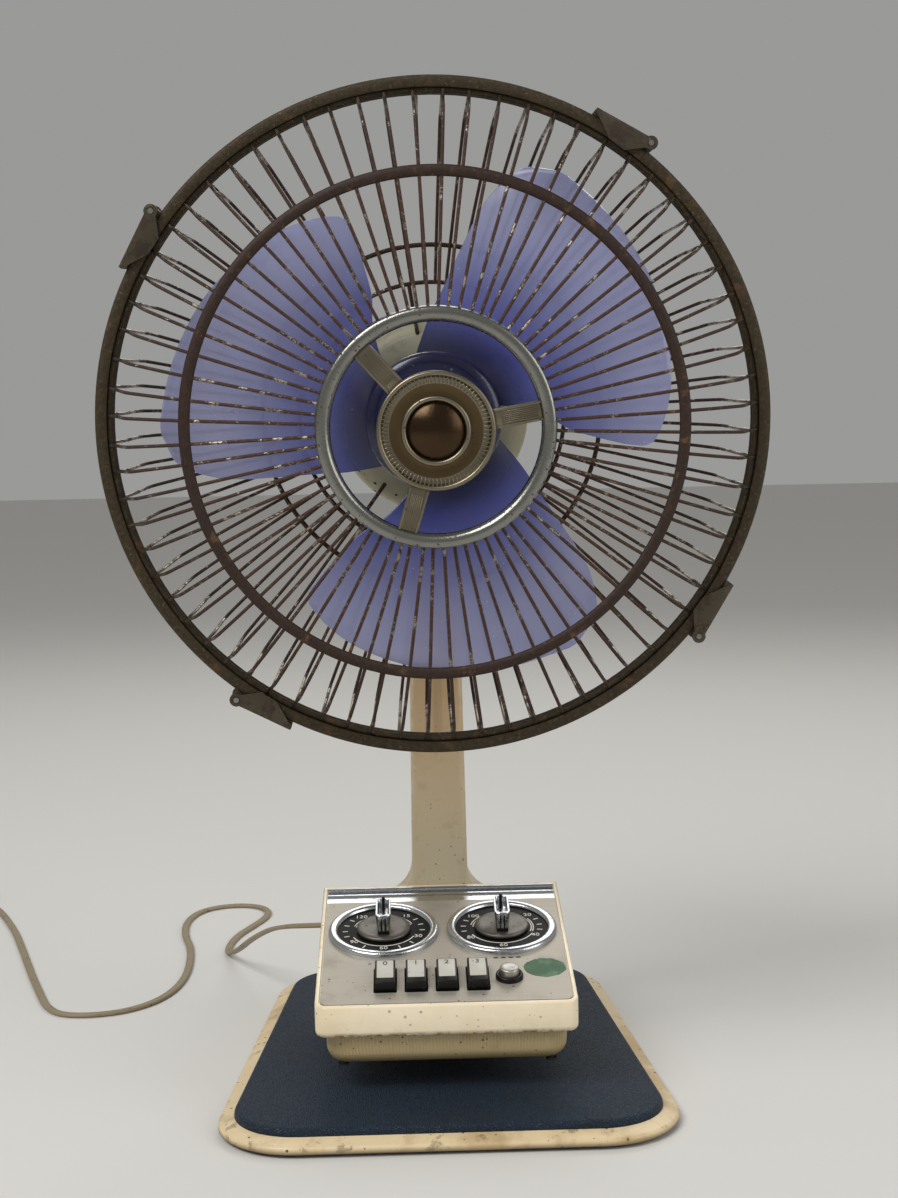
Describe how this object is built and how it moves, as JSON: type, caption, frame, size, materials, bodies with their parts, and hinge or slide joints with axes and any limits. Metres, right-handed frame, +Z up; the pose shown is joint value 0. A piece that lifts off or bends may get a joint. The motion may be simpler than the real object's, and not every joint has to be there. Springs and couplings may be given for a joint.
{
  "type": "desk fan",
  "caption": "Desk fan with a three-blade head in a wire guard, an oscillating motor on a column, and a sloping control box on a padded base.",
  "frame": {"origin": "centre of the base on the surface that it stands on", "axes": "+X to the right seen from the front, +Y to the back, +Z up; the blades face -Y"},
  "size_m": [0.626, 0.5916, 0.5492],
  "materials": {
    "aged_cream": "gloss",
    "mat_vinyl": "leather grain",
    "plain_steel": "dull",
    "foot_rubber": "matte",
    "column_paint": "satin",
    "box_plastic": "gloss",
    "tray_plastic": "reeded",
    "panel_metal": "brushed",
    "bright_chrome": "polished",
    "dial_black": "printed",
    "knob_metal": "worn",
    "key_black": "gloss",
    "works_brass": "dull",
    "works_board": "dull",
    "cord_pvc": "satin",
    "cord_black": "matte",
    "plug_plastic": "satin",
    "pin_brass": "satin",
    "motor_paint": "satin",
    "motor_core": "dull",
    "rusty_wire": "rusted",
    "rusty_rim": "rusted",
    "aged_chrome": "pitted",
    "blade_blue": "translucent"
  },
  "bodies": {
    "stand": {"base_shell": "aged_cream", "base_mat": "mat_vinyl", "base_plate": "plain_steel", "base_weight": "plain_steel", "rubber_feet": "foot_rubber", "case_screws": "plain_steel", "column_shell": "column_paint", "column_rear_cover": "column_paint", "column_tube": "plain_steel", "column_bolts": "plain_steel", "control_cover": "box_plastic", "control_tray": "tray_plastic", "control_panel": "panel_metal", "panel_trim": "bright_chrome", "box_bolts": "plain_steel", "dial_bezels": "bright_chrome", "dial_plates": "dial_black", "timer_clockwork": "works_brass", "rhythm_switch": "works_board", "button_collar": "key_black", "key_springs": "plain_steel", "key_switch": "works_board", "cord_gland": "cord_black", "cord_tube": "cord_pvc", "cord_coil": "cord_pvc", "cord_tie": "cord_black", "plug_body": "plug_plastic", "plug_pins": "pin_brass", "tilt_fork": "plain_steel", "tilt_bolt": "plain_steel"},
    "neck": {"neck_bracket": "plain_steel", "swivel_pin": "plain_steel", "crank_link": "plain_steel"},
    "head": {"motor_front_shell": "motor_paint", "motor_rear_shell": "motor_paint", "motor_stator": "motor_core", "shaft_bearings": "plain_steel", "gearbox_case": "motor_paint", "rear_guard": "rusty_wire", "guard_nut": "plain_steel", "rim_band": "rusty_rim", "front_guard": "rusty_wire", "hub_badge": "aged_chrome", "clip_pins": "plain_steel"},
    "rotor": {"motor_rotor": "motor_core", "fan_blade": "blade_blue"},
    "crank": {"crank_wheel": "works_brass"},
    "plunger": {"oscillation_knob": "motor_paint"},
    "wing_nut": {"tilt_knob": "key_black"},
    "timer_dial": {"timer_knob": "knob_metal"},
    "rhythm_dial": {"rhythm_knob": "knob_metal"},
    "button": {"push_button": "knob_metal"},
    "key0": {"key_0": "key_black"},
    "key1": {"key_1": "key_black"},
    "key2": {"key_2": "key_black"},
    "key3": {"key_3": "key_black"},
    "clip1": {"guard_clip_1": "rusty_rim"},
    "clip2": {"guard_clip_2": "rusty_rim"},
    "clip3": {"guard_clip_3": "rusty_rim"},
    "clip4": {"guard_clip_4": "rusty_rim"}
  },
  "joints": [
    {"name": "head_tilt", "type": "hinge", "parent": "stand", "child": "neck", "pos_m": [0, 0.052, 0.308], "axis": [1, 0, 0], "range_deg": [-24, 16]},
    {"name": "head_swing", "type": "hinge", "parent": "neck", "child": "head", "pos_m": [0, 0.052, 0.308], "axis": [0, -0.0698, 0.9976], "range_deg": [-38, 38]},
    {"name": "blade_spin", "type": "hinge", "parent": "head", "child": "rotor", "pos_m": [0, -0.07772, 0.37111], "axis": [0, -0.9976, -0.0698], "continuous": true},
    {"name": "crank_turn", "type": "hinge", "parent": "head", "child": "crank", "pos_m": [0.015, 0.08692, 0.31044], "axis": [0, -0.0698, 0.9976], "continuous": true},
    {"name": "oscillation_pull", "type": "slide", "parent": "head", "child": "plunger", "axis": [0, -0.0698, 0.9976], "range_m": [0, 0.005]},
    {"name": "tilt_knob_turn", "type": "hinge", "parent": "stand", "child": "wing_nut", "pos_m": [0, 0.052, 0.308], "axis": [1, 0, 0], "range_deg": [-180, 180]},
    {"name": "timer_turn", "type": "hinge", "parent": "stand", "child": "timer_dial", "pos_m": [-0.0339, -0.02025, 0.08097], "axis": [0, -0.2147, 0.9767], "range_deg": [-300, 0]},
    {"name": "rhythm_turn", "type": "hinge", "parent": "stand", "child": "rhythm_dial", "pos_m": [0.0339, -0.02025, 0.08097], "axis": [0, -0.2147, 0.9767], "range_deg": [-270, 0]},
    {"name": "key_0_press", "type": "slide", "parent": "stand", "child": "key0", "axis": [0, 0.2147, -0.9767], "range_m": [0, 0.004], "stiffness_N_per_m": 350, "springref_m": -0.001},
    {"name": "key_1_press", "type": "slide", "parent": "stand", "child": "key1", "axis": [0, 0.2147, -0.9767], "range_m": [0, 0.004], "stiffness_N_per_m": 350, "springref_m": -0.001},
    {"name": "key_2_press", "type": "slide", "parent": "stand", "child": "key2", "axis": [0, 0.2147, -0.9767], "range_m": [0, 0.004], "stiffness_N_per_m": 350, "springref_m": -0.001},
    {"name": "key_3_press", "type": "slide", "parent": "stand", "child": "key3", "axis": [0, 0.2147, -0.9767], "range_m": [0, 0.004], "stiffness_N_per_m": 350, "springref_m": -0.001},
    {"name": "button_press", "type": "slide", "parent": "stand", "child": "button", "axis": [0, 0.2147, -0.9767], "range_m": [0, 0.003], "stiffness_N_per_m": 350, "springref_m": -0.001},
    {"name": "clip_1_open", "type": "hinge", "parent": "head", "child": "clip1", "pos_m": [0.11414, -0.08761, 0.51255], "axis": [0, -0.9976, -0.0698], "range_deg": [-75, 0]},
    {"name": "clip_2_open", "type": "hinge", "parent": "head", "child": "clip2", "pos_m": [-0.14376, -0.08551, 0.48248], "axis": [0, -0.9976, -0.0698], "range_deg": [-75, 0]},
    {"name": "clip_3_open", "type": "hinge", "parent": "head", "child": "clip3", "pos_m": [-0.10912, -0.06756, 0.22577], "axis": [0, -0.9976, -0.0698], "range_deg": [-75, 0]},
    {"name": "clip_4_open", "type": "hinge", "parent": "head", "child": "clip4", "pos_m": [0.13978, -0.06958, 0.25479], "axis": [0, -0.9976, -0.0698], "range_deg": [-75, 0]}
  ],
  "couplings": [
    {"joint": "crank_turn", "follows": "blade_spin", "ratio": 0.005}
  ]
}
